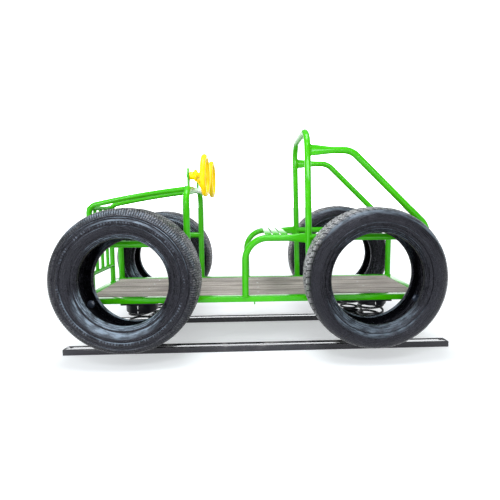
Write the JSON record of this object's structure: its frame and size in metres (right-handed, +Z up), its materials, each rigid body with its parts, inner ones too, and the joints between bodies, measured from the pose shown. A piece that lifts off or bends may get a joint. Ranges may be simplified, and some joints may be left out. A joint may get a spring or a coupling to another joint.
{
  "type": "spring rider",
  "caption": "Playground spring rider shaped like an open car: tube frame, plank deck, bench, tyres and toy steering wheels, rocking on coil springs over floor rails.",
  "frame": {"origin": "centre of the bounding box's underside, on the floor", "axes": "+X towards the car's tail, along the floor rails; +Y across the car, away from the pictured side; +Z up"},
  "size_m": [1.85, 0.846, 1.0615],
  "materials": {
    "green_steel": "glossy powder coat",
    "black_steel": "satin black paint",
    "spring": "satin black paint",
    "tyre": "matt rubber",
    "wheel_plastic": "satin moulded plastic",
    "plank": "fine ribs along the length",
    "bolt": "zinc plated"
  },
  "bodies": {
    "base": {"base_cross_plate_front": "black_steel", "base_cross_plate_rear": "black_steel", "base_rail_far": "black_steel", "base_rail_near": "black_steel"},
    "spring_set": {"spring_front_far": "spring", "spring_front_near": "spring", "spring_rear_far": "spring", "spring_rear_near": "spring"},
    "platform": {"back_stay_far": "green_steel", "back_stay_near": "green_steel", "dash_hoop": "green_steel", "deck_bearer_front": "black_steel", "deck_bearer_middle": "black_steel", "deck_bearer_rear": "black_steel", "deck_plank_1": "plank", "deck_plank_2": "plank", "deck_plank_3": "plank", "deck_plank_4": "plank", "deck_rail_far": "green_steel", "deck_rail_front": "green_steel", "deck_rail_near": "green_steel", "deck_rail_rear": "green_steel", "front_grille": "green_steel", "front_side_rail_far": "green_steel", "front_side_rail_near": "green_steel", "hood_tube_far": "green_steel", "hood_tube_near": "green_steel", "rear_side_rail_far": "green_steel", "rear_side_rail_near": "green_steel", "roll_bar": "green_steel", "seat_loop_far": "green_steel", "seat_loop_near": "green_steel", "seat_slat_1": "green_steel", "seat_slat_2": "green_steel", "seat_slat_3": "green_steel", "spring_plate_front": "black_steel", "spring_plate_rear": "black_steel", "spring_top_clamp_front_far": "black_steel", "spring_top_clamp_front_near": "black_steel", "spring_top_clamp_rear_far": "black_steel", "spring_top_clamp_rear_near": "black_steel", "steering_bolt_far": "bolt", "steering_bolt_near": "bolt", "steering_plate_far": "green_steel", "steering_plate_near": "green_steel", "tyre_bolt_front_far_front": "bolt", "tyre_bolt_front_far_rear": "bolt", "tyre_bolt_front_near_front": "bolt", "tyre_bolt_front_near_rear": "bolt", "tyre_bolt_rear_far_front": "bolt", "tyre_bolt_rear_far_rear": "bolt", "tyre_bolt_rear_near_front": "bolt", "tyre_bolt_rear_near_rear": "bolt", "tyre_front_far": "tyre", "tyre_front_near": "tyre", "tyre_rear_far": "tyre", "tyre_rear_near": "tyre"},
    "steering_wheel_near": {"steering_wheel_near": "wheel_plastic"},
    "steering_wheel_far": {"steering_wheel_far": "wheel_plastic"}
  },
  "joints": [
    {"name": "rock", "type": "hinge", "parent": "base", "child": "spring_set", "pos_m": [-0.0085, 0, 0.13], "axis": [0, 1, 0], "range_deg": [-4, 4], "stiffness_Nm_per_rad": 3000, "springref_deg": 0.59, "deforming": ["spring_front_far", "spring_front_near", "spring_rear_far", "spring_rear_near"]},
    {"name": "bounce", "type": "slide", "parent": "spring_set", "child": "platform", "axis": [0, 0, 1], "range_m": [-0.008, 0.01], "stiffness_N_per_m": 160000, "springref_m": 0.00941},
    {"name": "steer_near", "type": "hinge", "parent": "platform", "child": "steering_wheel_near", "pos_m": [-0.262, -0.142, 0.84], "axis": [1, 0, 0], "continuous": true},
    {"name": "steer_far", "type": "hinge", "parent": "platform", "child": "steering_wheel_far", "pos_m": [-0.262, 0.142, 0.84], "axis": [1, 0, 0], "continuous": true}
  ]
}
